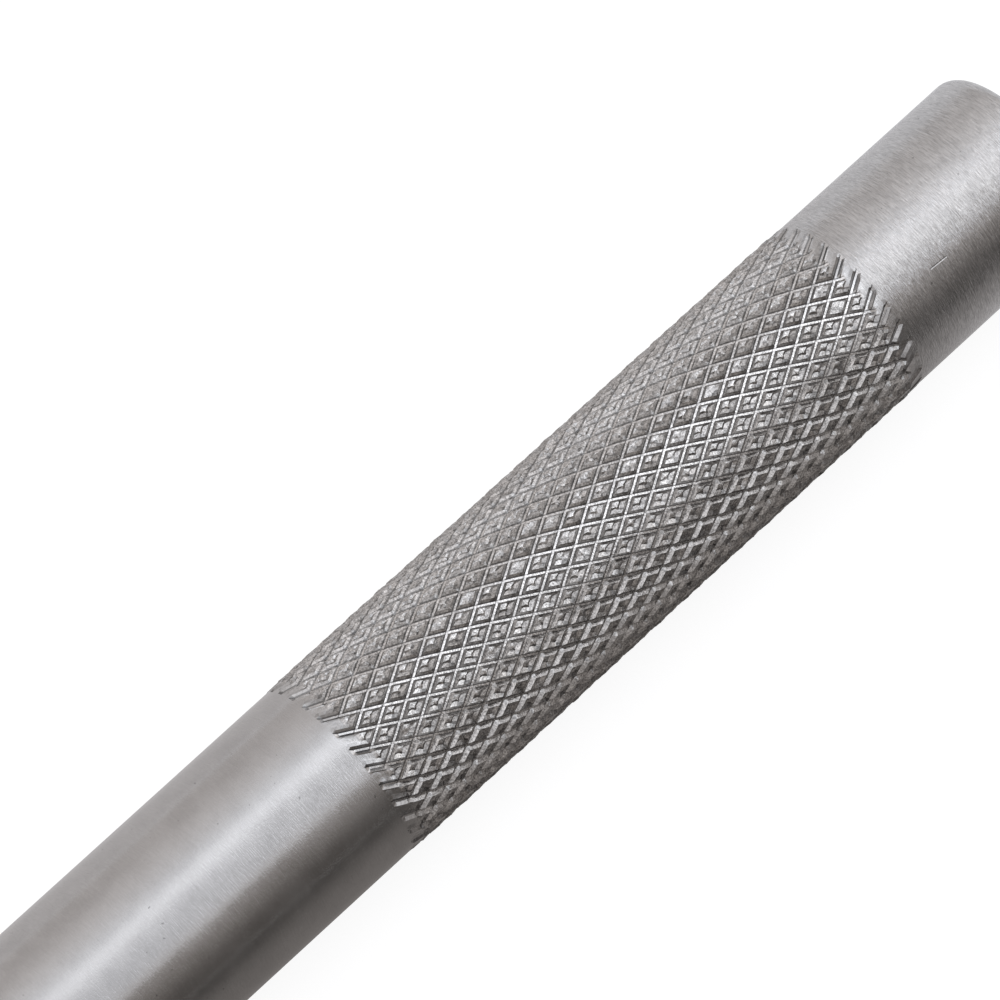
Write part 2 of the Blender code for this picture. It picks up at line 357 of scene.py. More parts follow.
def join(pieces):
    make_active(pieces[0])
    for piece in pieces[1:]:
        piece.select_set(True)
    bpy.ops.object.join()
    return pieces[0]


def bridge_rings(piece, places):
    """Bridges the open rings that lie at two places along the axis."""
    start_edit(piece, "EDGE")
    bpy.ops.mesh.select_non_manifold(extend=False, use_wire=False, use_multi_face=False, use_verts=False)
    end_edit()
    points = piece.data.vertices
    for line in piece.data.edges:
        if line.select:
            along = points[line.vertices[0]].co.x
            line.select = any(abs(along - place) < WELD for place in places)
    bpy.ops.object.mode_set(mode="EDIT")
    bpy.ops.mesh.bridge_edge_loops()
    end_edit()


def dress(piece, body, material):
    """Shades a finished piece and lets it stand for the CAD node of its body."""
    make_active(piece)
    bpy.ops.object.shade_smooth_by_angle(angle=SMOOTH_ANGLE)
    piece.data.materials.clear()
    piece.data.materials.append(material)
    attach(piece, body)
    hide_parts(body)


# Knurled handle

def wheel_ends():
    """Where each wheel's grooves start and end along the axis, for the two leans."""
    end = KNURL_TIP_X + WHEEL_WIDTH
    return (KNURL_TIP_X + WHEEL_OFFSET, end + WHEEL_OFFSET), (KNURL_TIP_X, end)


def knurl_limits():
    return KNURL_TIP_X - KNURL_MARGIN, KNURL_TIP_X + WHEEL_WIDTH + WHEEL_OFFSET + KNURL_MARGIN


def bar_point(along, angle, radius):
    return np.stack([along, -radius * np.sin(angle), AXIS_HEIGHT + radius * np.cos(angle)], axis=-1)


def knurl_lane():
    """The strip of bar between two neighbouring grooves, with an edge wherever the height turns."""
    low, high = knurl_limits()
    first = floor(2 * (low - CROSSING_X) / KNURL_PITCH)
    last = ceil(2 * (high - CROSSING_X) / KNURL_PITCH) + 1
    ups = np.array([cell + share for cell in range(first, last + 1) for share in GROOVE_SHARES])
    downs = np.array([*GROOVE_SHARES, 1 + GROOVE_SHARES[0]])
    deselect_all()
    bpy.ops.mesh.primitive_grid_add(
        x_subdivisions=len(ups) - 1, y_subdivisions=len(downs) - 1, size=1.0, location=(0.0, 0.0, 0.0)
    )
    lane = bpy.context.object
    lane.name = lane.data.name = "knurled_handle"
    for vertex in lane.data.vertices:
        up = ups[round((vertex.co.x + 0.5) * (len(ups) - 1))]
        down = downs[round((vertex.co.y + 0.5) * (len(downs) - 1))]
        along = CROSSING_X + (up - down) / 2 * KNURL_PITCH
        vertex.co = bar_point(along, CROSSING_ANGLE + (up + down) / 2 * tau / KNURL_TEETH, SHANK_RADIUS)
    return lane


def knurl_ring():
    """The lanes all round the bar, cut square at both ends, with rings where the wheels lift off."""
    ring = knurl_lane()
    others = KNURL_TEETH - 1
    start_edit(ring)
    bpy.ops.mesh.select_all(action="SELECT")
    angle = tau * others / KNURL_TEETH
    bpy.ops.mesh.spin(steps=others, angle=angle, dupli=True, center=AXIS_POINT, axis=(1, 0, 0))
    end_edit()
    weld(ring)
    low, high = knurl_limits()
    slice_at(ring, low, -1)
    slice_at(ring, high, 1)
    for start, end in wheel_ends():
        for along in (start, start + RUN_OUT, end - RUN_OUT, end):
            slice_at(ring, along)
    return ring


def press(along, ends):
    """1 between a wheel's ends, falling to 0 over the run-out at each of them."""
    share = np.clip(np.minimum(along - ends[0], ends[1] - along) / RUN_OUT, 0.0, 1.0)
    return share * share * (3 - 2 * share)


def knurl_places(points):
    """Diamond and share of the way across it for both leans, and how far each wheel is pressed in."""
    turns = (np.arctan2(-points[:, 1], points[:, 2] - AXIS_HEIGHT) - CROSSING_ANGLE) * KNURL_TEETH / tau
    rows = (points[:, 0] - CROSSING_X) / KNURL_PITCH
    cells = np.floor([turns + rows, turns - rows])
    shares = np.array([turns + rows, turns - rows]) - cells
    return cells, shares, np.array([press(points[:, 0], ends) for ends in wheel_ends()])


def face_places(ring):
    """Shares and presses, as above, at the middle of each face."""
    middles = np.empty(len(ring.data.polygons) * 3)
    ring.data.polygons.foreach_get("center", middles)
    _, shares, presses = knurl_places(middles.reshape(-1, 3))
    return shares, presses


def mark_faces(ring):
    """Notes on each face how it differs from plain steel: painted shade on steps, tracks and flanks, burnish
    with painted highlight in grooves.
    """
    shares, presses = face_places(ring)
    shares = np.where(presses > 0.5, shares, TOP_MIDDLE)
    near, far = shares.min(axis=0), shares.max(axis=0)
    in_step = (far > TRACK_SHARES[0]) & (far < TRACK_SHARES[1]) & (presses > 0.5).all(axis=0)
    in_track = (far > TRACK_SHARES[1]) & (far < TRACK_SHARES[2])
    chance = np.random.default_rng(STAIN_AND_SHADE_SEED)
    shade = -STEP_PAINTED_SHADE * in_step
    in_corner = 1 + CORNER_PAINTED_SHADE * (near > TRACK_SHARES[0])
    shade -= TRACK_PAINTED_SHADE * in_track * in_corner * chance.uniform(*TRACK_SHADE_SPREAD, len(near))
    shade[(near > RISE_SHARES[0]) & (near < RISE_SHARES[1])] = -RISE_PAINTED_SHADE
    shade[(near > RISE_SHARES[1]) & (near < RISE_SHARES[2]) & ~in_step] = -EDGE_PAINTED_SHADE
    shade[(far > FALL_SHARES[2]) & (far < FALL_SHARES[3]) & (near > 1 - far)] = -FALL_PAINTED_SHADE
    shade[(near < RISE_SHARES[0]) | (far > FALL_SHARES[3])] = GROOVE_BURNISH_AND_HIGHLIGHT
    shade += chance.normal(size=len(near)) * STAINING * presses.max(axis=0)
    ring.data.attributes.new("knurl_stain_and_painted_light", "FLOAT", "FACE").data.foreach_set("value", shade)


def fold_corners(ring):
    """Folds the faces at the diamonds' sharp corners from tip to tip, where a rise meets a fall."""
    start_edit(ring, "FACE")
    end_edit()
    shares, _ = face_places(ring)
    near, far = shares.min(axis=0), shares.max(axis=0)
    on_rise = (near > RISE_SHARES[0]) & (near < RISE_SHARES[1])
    on_fall = (far > FALL_SHARES[2]) & (far < FALL_SHARES[3])
    ring.data.polygons.foreach_set("select", on_rise & on_fall)
    bpy.ops.object.mode_set(mode="EDIT")
    bpy.ops.mesh.quads_convert_to_tris(quad_method="LONGEST_DIAGONAL")
    end_edit()


def roll_knurl(ring):
    """Presses the two wheels' grooves into the ring, each diamond a little different."""
    points = np.empty(len(ring.data.vertices) * 3)
    ring.data.vertices.foreach_get("co", points)
    points = points.reshape(-1, 3)
    cells, shares, presses = knurl_places(points)
    crossed = presses.prod(axis=0)

    chance = np.random.default_rng(ROLL_SEED)
    spread = chance.normal(size=(3, SPREAD_ROWS, 2 * KNURL_TEETH))
    row, column = (cells[0] - cells[1]).astype(int), (cells[0] + cells[1]).astype(int)
    track_spread, top_spread, lean_spread = spread[:, row + SPREAD_ROWS // 2, column % (2 * KNURL_TEETH)]

    near, far = shares.min(axis=0), shares.max(axis=0)
    fall = np.interp(far, FALL_SHARES, FALL_HEIGHTS)
    fade = np.interp(near, TRACK_FADE, (0.0, 1.0))
    track = np.interp(far, TRACK_SHARES, (0.0, 1.0, 0.0)) * fade * (1 + track_spread * TRACK_SPREAD)
    lone = np.interp(shares, LONE_SHARES, LONE_HEIGHTS)
    relief = crossed * np.minimum(np.interp(near, RISE_SHARES, RISE_HEIGHTS), fall - track * TRACK_DEPTH)
    relief += presses[0] * (1 - presses[1]) * lone[0] + presses[1] * (1 - presses[0]) * lone[1]

    # The flat tops differ in height, and their sides are hollow and wander a little
    past_rise = near > RISE_SHARES[1] - SHARE_SLACK
    on_top = (past_rise & (far < TRACK_SHARES[0] + SHARE_SLACK)) * crossed
    relief += on_top * (top_spread + lean_spread * (shares[0] - TOP_MIDDLE) * TOP_TILT) * TOP_SPREAD
    on_track = (far > TRACK_SHARES[1] - SHARE_SLACK) & (far < TRACK_SHARES[2] + SHARE_SLACK) & past_rise
    uneven = UNEVENNESS + TRACK_UNEVENNESS * on_track
    relief += chance.normal(size=len(relief)) * presses.max(axis=0) * uneven
    inside = ((shares > DIAMOND_SHARES[0]) & (shares < DIAMOND_SHARES[1])).all(axis=0) * crossed
    arch = np.interp(shares[::-1], (RISE_SHARES[0], TOP_MIDDLE, FALL_SHARES[2]), (-1.0, 1.0, -1.0))
    off_rise = shares > RISE_SHARES[1] + SHARE_SLACK
    is_side = (np.abs(TOP_MIDDLE - shares) > TOP_CORE) & off_rise & (shares < TRACK_SHARES[1] + SHARE_SLACK)
    bend = is_side * np.sign(TOP_MIDDLE - shares) * arch * TOP_HOLLOW
    inner = off_rise & (shares < FALL_SHARES[2] - SHARE_SLACK)
    shares = shares + (bend + inner * chance.normal(size=shares.shape) * WANDER) * inside

    up, down = cells + shares
    along = np.where(inside > 0, CROSSING_X + (up - down) / 2 * KNURL_PITCH, points[:, 0])
    angle = CROSSING_ANGLE + (up + down) / 2 * tau / KNURL_TEETH
    ring.data.vertices.foreach_set("co", bar_point(along, angle, SHANK_RADIUS + relief).ravel())
    ring.data.update()


def strike_outline(end_x):
    """The strike face, its rounded corner and the plain land below it."""
    corners = [(STRIKE_X, 0.0, 0.0), (STRIKE_X, SHANK_RADIUS, STRIKE_ROUNDING), (end_x, SHANK_RADIUS, 0.0)]
    return rounded(corners, steps=12)


def shank_outline(start_x):
    """The plain lower shank, its chamfer and the seat."""
    corners = [
        (start_x, SHANK_RADIUS, 0.0),
        (SEAT_X + SEAT_CHAMFER, SHANK_RADIUS, BROKEN_EDGE),
        (SEAT_X, SHANK_RADIUS - SEAT_CHAMFER, BROKEN_EDGE),
        (SEAT_X, 0.0, 0.0),
    ]
    return rounded(corners)


def drill_outline():
    """The tapping drill, from its point to past the countersunk mouth."""
    end_x = SEAT_X + SOCKET_DEPTH
    return [
        (end_x + SOCKET_CREST / tan(DRILL_POINT / 2), 0.0),
        (end_x, SOCKET_CREST),
        (SEAT_X + SOCKET_MOUTH - SOCKET_CREST, SOCKET_CREST),
        (SEAT_X - PAST, SOCKET_MOUTH + PAST),
        (SEAT_X - PAST, 0.0),
    ]


def make_handle():
    knurl = knurl_ring()
    fold_corners(knurl)
    mark_faces(knurl)
    roll_knurl(knurl)
    low, high = knurl_limits()
    land_x, shank_x = high + BRIDGE_LENGTH, low - BRIDGE_LENGTH
    land = turn_on_lathe("strike_land", strike_outline(land_x))
    shank = turn_on_lathe("lower_shank", shank_outline(shank_x))
    handle = join([knurl, land, shank])
    bridge_rings(handle, (shank_x, low))
    bridge_rings(handle, (high, land_x))
    weld(handle)
    cut(handle, turn_on_lathe("socket_drill", drill_outline(), TUBE_STEPS))
    thread_end = SEAT_X + SOCKET_THREAD_DEPTH
    cut(handle, wind_thread("socket_tap", SOCKET_CREST - TAP_OVERLAP, SOCKET_ROOT, SEAT_X - PAST, thread_end))
    return handle


# Split washer

def make_washer():
    """A square spring wire, wound once round and split, left-hand so that its ends bite."""
    low, high = WASHER_END_X, WASHER_TOP_X
    section = rounded(
        [
            (low, WASHER_BORE, WASHER_EDGE),
            (low, WASHER_RADIUS, WASHER_EDGE),
            (high, WASHER_RADIUS, WASHER_EDGE),
            (high, WASHER_BORE, WASHER_EDGE),
        ],
        steps=3,
        closed=True,
    )
    washer = draw_line("split_washer", section, closed=True)
    wind(washer, 0.0, tau, WASHER_STEPS)
    weld(washer)
    middle = AXIS_POINT + Vector(((low + high) / 2, 0.0, (WASHER_BORE + WASHER_RADIUS) / 2))
    cut(washer, make_block((4 * (high - low), WASHER_SPLIT, WASHER_RADIUS), middle, WASHER_SLANT))
    open_split(washer, SHOULDER_X + SEAT_GAP - low, SEAT_X - SEAT_GAP - high)
    return washer


def open_split(washer, drop, lift):
    """Twists the ring so that its ends touch the faces on both sides."""
    for vertex in washer.data.vertices:
        angle = np.arctan2(-vertex.co.y, vertex.co.z - AXIS_HEIGHT) % tau
        vertex.co.x += lift + (drop - lift) * angle / tau
    washer.data.update()


# Punch tube

def tube_outline():
    """The neck, shoulder, collar, taper, barrel and bevelled edge, then back up the bore."""
    neck_x = WASHER_TOP_X
    taper_x = SHOULDER_X - COLLAR_LENGTH
    barrel_x = taper_x - TAPER_LENGTH
    bevel_x = EDGE_X + BEVEL_LENGTH
    relieved = BORE_RADIUS + BORE_RELIEF
    bore_end = EDGE_X + BORE_DEPTH
    return rounded(
        [
            (neck_x, 0.0, 0.0),
            (neck_x, NECK_RADIUS, NECK_EDGE),
            (SHOULDER_X, NECK_RADIUS, BROKEN_EDGE),
            (SHOULDER_X, SHANK_RADIUS - COLLAR_EDGE, COLLAR_ROUNDING),
            (SHOULDER_X - COLLAR_EDGE, SHANK_RADIUS, COLLAR_ROUNDING),
            (taper_x, SHANK_RADIUS, TAPER_ROUNDING),
            (barrel_x, BARREL_RADIUS, BARREL_ROUNDING),
            (bevel_x, BARREL_RADIUS, BEVEL_ROUNDING),
            (EDGE_X, BORE_RADIUS + EDGE_LAND, 0.0),
            (EDGE_X, BORE_RADIUS, 0.0),
            (EDGE_X + BORE_RELIEF_START, BORE_RADIUS, BROKEN_EDGE),
            (EDGE_X + BORE_RELIEF_START + BORE_RELIEF, relieved, BROKEN_EDGE),
            (bore_end, relieved, BORE_END_ROUNDING),
            (bore_end + relieved, 0.0, 0.0),
        ]
    )


def envelope_outline():
    """What the stud's thread is turned down to, with a chamfer at its free end."""
    return [
        (STUD_END_X + PAST, 0.0),
        (STUD_END_X + PAST, STUD_RADIUS - STUD_LEAD_IN - PAST),
        (STUD_END_X - STUD_LEAD_IN - PAST, STUD_RADIUS + PAST),
        (SHOULDER_X, STUD_RADIUS + PAST),
        (SHOULDER_X, 0.0),
    ]


def window_tool():
    """A block with rounded corners that mills the window from above."""
    middle = AXIS_POINT + Vector((EDGE_X + WINDOW_FROM_EDGE + WINDOW_LENGTH / 2, 0.0, SHANK_RADIUS))
    tool = make_block((WINDOW_LENGTH, WINDOW_WIDTH, 2 * SHANK_RADIUS), middle)
    start_edit(tool, "EDGE")
    end_edit()
    points = tool.data.vertices
    for line in tool.data.edges:
        a, b = (points[index].co for index in line.vertices)
        line.select = abs(a.z - b.z) > WELD
    bpy.ops.object.mode_set(mode="EDIT")
    bpy.ops.mesh.bevel(offset=WINDOW_ROUNDING, segments=10, affect="EDGES")
    end_edit()
    return tool


def flat_tool(side):
    """A block that mills one wrench flat and runs out on the taper."""
    length = COLLAR_LENGTH + TAPER_LENGTH - FLATS_FROM_SHOULDER
    middle = (SHOULDER_X - FLATS_FROM_SHOULDER - length / 2, side * (FLATS_WIDTH + SHANK_RADIUS) / 2, 0.0)
    return make_block((length, SHANK_RADIUS, 4 * SHANK_RADIUS), AXIS_POINT + Vector(middle))


def make_tube():
    tube = turn_on_lathe("punch_tube_turned", tube_outline(), TUBE_STEPS)
    cut(tube, window_tool())
    cut(tube, flat_tool(1))
    cut(tube, flat_tool(-1))
    thread = wind_thread("stud_thread", STUD_ROOT, STUD_RADIUS, (SHOULDER_X + WASHER_TOP_X) / 2, STUD_END_X)
    cut(thread, turn_on_lathe("stud_envelope", envelope_outline(), THREAD_STEPS), "INTERSECT")
    cut(tube, thread, "UNION")
    return tube


# Finishes

PLAIN_STEEL = (0.56, 0.55, 0.54)
KNURL_STEEL = (0.630, 0.612, 0.593)
DARK_TEMPER = (0.36, 0.35, 0.34)
WORN_TEMPER = (0.54, 0.53, 0.52)
TUBE_STEEL = (0.60, 0.59, 0.58)

# The range over which noise turns into soft patches, and the few peaks of it that make pits
PATCH_RANGE = (0.3, 0.7)
PIT_RANGE = (0.77, 0.80)

# The length over which the finish changes at each end of the knurl, and the distances before the
# knurl's limit between which it changes to the strike land's
ROUGH_RAMP = 1.3 * MM
LAND_RAMP = (0.8 * MM, 0.2 * MM)

# How strong the turning lines are on the shank, and how much stronger on the land
SHANK_LINES = 0.3
LAND_LINES = 1.5
LINE_SHADE = 0.6
LINE_DEPTH = 0.02 * MM

# Grain and grit of the plain bar and of the knurl
GRAIN_SHADES = (0.1, 2.2)
GRIT = (0.5, 1.8)
GRIT_DEPTH = 0.006 * MM
PIT_SHADE = 0.35
BAR_ROUGHNESS = (0.16, 0.22)
GROOVE_ROUGHNESS = 0.13

# The washer's outer corners, within these distances of its rim, are worn
WORN_RIM = (0.16 * MM, 0.03 * MM)
WORN_RANGE = (0.35, 0.6)
TEMPER_ROUGHNESS = (0.4, 0.26)
TEMPER_DEPTH = 0.004 * MM

# The tube's turned outside, ground bevel and bore
TUBE_ROUGHNESS = (0.2, 0.28)
BEVEL_ROUGHNESS = 0.16
BEVEL_LINES = 0.4
BEVEL_SHADE = 1.1
BORE_ROUGHNESS = 0.4
BORE_SHADE = 0.62
BORE_SLACK = 0.02 * MM
TUBE_LINE_RANGE = (0.25, 0.75)
TUBE_LINE_DEPTH = 0.008 * MM
TUBE_GRAIN_DEPTH = 0.002 * MM
TUBE_PIT_SHADE = 0.3

# One scratch on the strike land: where it starts and ends below the strike face, and round the bar
SCRATCH_START = 9.0 * MM
SCRATCH_END = 7.95 * MM
SCRATCH_ANGLES = (radians(30.1), radians(30.9))
SCRATCH_WIDTH = 0.05 * MM


def add_node(tree, kind, settings=None, **inputs):
    """A shader node with its settings, and inputs that are values or other nodes' outputs."""
    added = tree.nodes.new(kind)
    for name, value in (settings or {}).items():
        setattr(added, name, value)
    for name, value in inputs.items():
        socket = added.inputs[int(name[1:])] if name[1:].isdigit() else added.inputs[name.replace("_", " ")]
        if isinstance(value, bpy.types.NodeSocket):
            tree.links.new(value, socket)
        else:
            socket.default_value = value
    return added


def calculate(tree, operation, first, second=0.0):
    return add_node(tree, "ShaderNodeMath", {"operation": operation}, i0=first, i1=second).outputs[0]


def vectors(tree, operation, first, second):
    return add_node(tree, "ShaderNodeVectorMath", {"operation": operation}, i0=first, i1=second)


def new_steel(name, colour, roughness):
    material = bpy.data.materials.new(name)
    material.use_nodes = True
    tree = material.node_tree
    shader = tree.nodes["Principled BSDF"]
    shader.inputs["Base Color"].default_value = (*colour, 1.0)
    shader.inputs["Metallic"].default_value = 1.0
    shader.inputs["Roughness"].default_value = roughness
    return material, tree, shader


def lathe_coordinates(tree, lines_per_metre, breaks_per_metre):
    """Coordinates whose first axis runs along turned faces and outwards on flat ends."""
    place = tree.nodes.new("ShaderNodeTexCoord").outputs["Object"]
    centred = vectors(tree, "SUBTRACT", place, AXIS_POINT).outputs[0]
    split = add_node(tree, "ShaderNodeSeparateXYZ", i0=centred)
    sideways, upwards = split.outputs["Y"], split.outputs["Z"]
    across = add_node(tree, "ShaderNodeCombineXYZ", i1=sideways, i2=upwards).outputs[0]
    radius = add_node(tree, "ShaderNodeVectorMath", {"operation": "LENGTH"}, i0=across).outputs["Value"]
    track = calculate(tree, "ADD", split.outputs["X"], radius)
    grooves = add_node(tree, "ShaderNodeCombineXYZ", i0=track, i1=sideways, i2=upwards).outputs[0]
    scales = (lines_per_metre, breaks_per_metre, breaks_per_metre)
    return place, split, radius, vectors(tree, "MULTIPLY", grooves, scales).outputs[0]


def ramped(tree, value, start, end, low=0.0, high=1.0):
    """A value that goes smoothly from low to high as another goes from start to end."""
    return add_node(
        tree,
        "ShaderNodeMapRange",
        {"interpolation_type": "SMOOTHSTEP"},
        Value=value, From_Min=start, From_Max=end, To_Min=low, To_Max=high,
    ).outputs[0]


def tinted(tree, colour, shade):
    """A colour made lighter or darker by a shade about 1."""
    return add_node(tree, "ShaderNodeVectorMath", {"operation": "SCALE"}, i0=colour, Scale=shade).outputs[0]


def noise(tree, place, scale, detail=2.0, roughness=0.5):
    return add_node(
        tree, "ShaderNodeTexNoise", Vector=place, Scale=scale, Detail=detail, Roughness=roughness
    ).outputs["Fac"]


def band(tree, value, start, end):
    """1 while a value lies between two others."""
    past_start = calculate(tree, "GREATER_THAN", value, start)
    return calculate(tree, "MULTIPLY", past_start, calculate(tree, "LESS_THAN", value, end))


def pits(tree, place):
    """1 in a few small pits."""
    return ramped(tree, noise(tree, place, scale=3600.0, detail=1.0), *PIT_RANGE)


def bumped(tree, height, depth, **under):
    """A normal bent by a height, over the normal that lies under it."""
    return add_node(tree, "ShaderNodeBump", Strength=1.0, Distance=depth, Height=height, **under).outputs[0]


def mixed(tree, share, first, second):
    return add_node(tree, "ShaderNodeMix", i0=share, i2=first, i3=second).outputs[0]


def blended(tree, share, first, second):
    """The same as mixed, but for colours."""
    return add_node(tree, "ShaderNodeMix", {"data_type": "RGBA"}, i0=share, i6=first, i7=second).outputs[2]


def scratch_height(tree, along, angle):
    """One short scratch along the strike land, about as deep as 1 is high."""
    start, end = STRIKE_X - SCRATCH_START, STRIKE_X - SCRATCH_END
    first, last = SCRATCH_ANGLES
    line = add_node(
        tree, "ShaderNodeMapRange", Value=along, From_Min=start, From_Max=end, To_Min=first, To_Max=last
    ).outputs[0]
    away = calculate(tree, "ABSOLUTE", calculate(tree, "SUBTRACT", angle, line))
    notch = ramped(tree, away, 0.0, SCRATCH_WIDTH / SHANK_RADIUS, -1.0, 0.0)
    return calculate(tree, "MULTIPLY", notch, band(tree, along, start, end))


def painted_shade_lines(tree, along, angle):
    """1 on the thin lines of painted shade in the knurl, which each wheel has along its own grooves."""
    turns = calculate(tree, "MULTIPLY", calculate(tree, "SUBTRACT", angle, CROSSING_ANGLE), KNURL_TEETH / tau)
    rows = calculate(tree, "DIVIDE", calculate(tree, "SUBTRACT", along, CROSSING_X), KNURL_PITCH)
    lines = []
    start, full, fade, end = SHADE_LINE_SHARES
    for lean, ends in zip(("ADD", "SUBTRACT"), wheel_ends()):
        share = calculate(tree, "FRACT", calculate(tree, lean, turns, rows))
        fading = ramped(tree, share, fade, end, 1.0, 0.0)
        line = calculate(tree, "MULTIPLY", ramped(tree, share, start, full), fading)
        lines.append(calculate(tree, "MULTIPLY", line, band(tree, along, *ends)))
    return calculate(tree, "MAXIMUM", *lines)


def turned_steel():
    """Bare bar steel, polished on the lathe with emery cloth, with fine lines round it."""
    material, tree, shader = new_steel("turned_steel", PLAIN_STEEL, roughness=0.2)
    place, split, _, lines = lathe_coordinates(tree, lines_per_metre=20000.0, breaks_per_metre=1800.0)
    along = split.outputs["X"]
    forward = calculate(tree, "MULTIPLY", split.outputs["Y"], -1.0)
    angle = calculate(tree, "ARCTAN2", forward, split.outputs["Z"])
    low, high = knurl_limits()
    on_land = ramped(tree, along, high - LAND_RAMP[0], high - LAND_RAMP[1])
    rough_start, rough_end = low + KNURL_MARGIN + RUN_OUT, high - KNURL_MARGIN - RUN_OUT
    in_knurl = calculate(
        tree,
        "MULTIPLY",
        ramped(tree, along, rough_start, rough_start + ROUGH_RAMP),
        ramped(tree, along, rough_end - ROUGH_RAMP, rough_end, 1.0, 0.0),
    )
    lining = calculate(tree, "ADD", calculate(tree, "MULTIPLY", on_land, LAND_LINES), SHANK_LINES)

    streaks = noise(tree, lines, scale=1.0, detail=2.0, roughness=0.6)
    grain = noise(tree, place, scale=11000.0)
    patches = noise(tree, place, scale=700.0, detail=3.0)
    faces = add_node(tree, "ShaderNodeAttribute", {"attribute_name": "knurl_stain_and_painted_light"}).outputs["Fac"]
    in_groove = calculate(tree, "GREATER_THAN", faces, GROOVE_BURNISH_AND_HIGHLIGHT / 2)

    line_shade = calculate(tree, "MULTIPLY", lining, LINE_SHADE)
    shade = calculate(tree, "MULTIPLY", calculate(tree, "SUBTRACT", streaks, 0.5), line_shade)
    shade = calculate(tree, "ADD", shade, ramped(tree, patches, *PATCH_RANGE, 0.96, 1.04))
    shade = calculate(tree, "SUBTRACT", shade, calculate(tree, "MULTIPLY", pits(tree, place), PIT_SHADE))
    grain_shade = mixed(tree, in_knurl, *GRAIN_SHADES)
    rough = calculate(tree, "MULTIPLY", calculate(tree, "SUBTRACT", grain, 0.5), grain_shade)
    shade = calculate(tree, "ADD", shade, rough)
    # Painted shade and painted highlight from the knurl's faces, then painted shade from its thin lines
    shade = calculate(tree, "MULTIPLY", shade, calculate(tree, "ADD", faces, 1.0))
    hollow_shade = mixed(tree, painted_shade_lines(tree, along, angle), 1.0, 1.0 - SHADE_LINE_DARK)
    shade = calculate(tree, "MULTIPLY", shade, hollow_shade)
    steel = blended(tree, in_knurl, (*PLAIN_STEEL, 1.0), (*KNURL_STEEL, 1.0))
    tree.links.new(tinted(tree, steel, shade), shader.inputs["Base Color"])
    worn = ramped(tree, patches, *PATCH_RANGE, *BAR_ROUGHNESS)
    tree.links.new(mixed(tree, in_groove, worn, GROOVE_ROUGHNESS), shader.inputs["Roughness"])
    height = calculate(tree, "MULTIPLY", streaks, lining)
    height = calculate(tree, "ADD", height, scratch_height(tree, along, angle))
    grit = calculate(tree, "MULTIPLY", grain, mixed(tree, in_knurl, *GRIT))
    bump = bumped(tree, grit, GRIT_DEPTH, Normal=bumped(tree, height, LINE_DEPTH))
    tree.links.new(bump, shader.inputs["Normal"])
    return material


def spring_steel():
    """Dark spring temper, worn bright on its outer corners."""
    material, tree, shader = new_steel("spring_steel", DARK_TEMPER, roughness=0.38)
    place, _, radius, lines = lathe_coordinates(tree, lines_per_metre=6000.0, breaks_per_metre=500.0)
    grain = noise(tree, place, scale=5000.0, detail=3.0)
    patches = noise(tree, place, scale=900.0, detail=3.0)
    worn = ramped(tree, radius, WASHER_RADIUS - WORN_RIM[0], WASHER_RADIUS - WORN_RIM[1])
    worn = calculate(tree, "MULTIPLY", worn, ramped(tree, patches, *WORN_RANGE, 0.3, 1.0))
    temper = blended(tree, worn, (*DARK_TEMPER, 1.0), (*WORN_TEMPER, 1.0))
    temper = tinted(tree, temper, ramped(tree, patches, *PATCH_RANGE, 0.86, 1.12))
    tree.links.new(temper, shader.inputs["Base Color"])
    tree.links.new(mixed(tree, worn, *TEMPER_ROUGHNESS), shader.inputs["Roughness"])
    height = calculate(tree, "ADD", grain, noise(tree, lines, scale=1.0))
    tree.links.new(bumped(tree, height, TEMPER_DEPTH), shader.inputs["Normal"])
    return material


def tool_steel():
    """Turned tool steel: ground bright on the cutting bevel, dull and darker in the bore."""
    material, tree, shader = new_steel("tool_steel", TUBE_STEEL, roughness=0.24)
    place, split, radius, lines = lathe_coordinates(tree, lines_per_metre=9000.0, breaks_per_metre=500.0)
    along = split.outputs["X"]
    ground = calculate(tree, "LESS_THAN", along, EDGE_X + BEVEL_LENGTH)
    in_bore = calculate(tree, "LESS_THAN", radius, BORE_RADIUS + BORE_RELIEF + BORE_SLACK)
    bore_end = EDGE_X + BORE_DEPTH + 2 * BORE_RADIUS
    in_bore = calculate(tree, "MULTIPLY", in_bore, band(tree, along, EDGE_X + WELD, bore_end))

    streaks = noise(tree, lines, scale=1.0, detail=3.0, roughness=0.6)
    grain = noise(tree, place, scale=9000.0)
    patches = noise(tree, place, scale=600.0, detail=3.0)
    shade = ramped(tree, streaks, *TUBE_LINE_RANGE, 0.9, 1.08)
    shade = calculate(tree, "MULTIPLY", shade, ramped(tree, patches, *PATCH_RANGE, 0.94, 1.04))
    shade = calculate(tree, "MULTIPLY", shade, mixed(tree, ground, 1.0, BEVEL_SHADE))
    shade = calculate(tree, "MULTIPLY", shade, mixed(tree, in_bore, 1.0, BORE_SHADE))
    shade = calculate(tree, "SUBTRACT", shade, calculate(tree, "MULTIPLY", pits(tree, place), TUBE_PIT_SHADE))
    tree.links.new(tinted(tree, TUBE_STEEL, shade), shader.inputs["Base Color"])
    worn = mixed(tree, ground, ramped(tree, patches, *PATCH_RANGE, *TUBE_ROUGHNESS), BEVEL_ROUGHNESS)
    tree.links.new(mixed(tree, in_bore, worn, BORE_ROUGHNESS), shader.inputs["Roughness"])
    height = calculate(tree, "MULTIPLY", streaks, mixed(tree, ground, 1.0, BEVEL_LINES))
    turned = bumped(tree, height, TUBE_LINE_DEPTH)
    tree.links.new(bumped(tree, grain, TUBE_GRAIN_DEPTH, Normal=turned), shader.inputs["Normal"])
    return material


# Stage

FLOOR_SIZE = 20.0
FLOOR_HEIGHT = -0.05 * MM
FLOOR_GLOW = 0.88
FLOOR_PAPER = 0.22

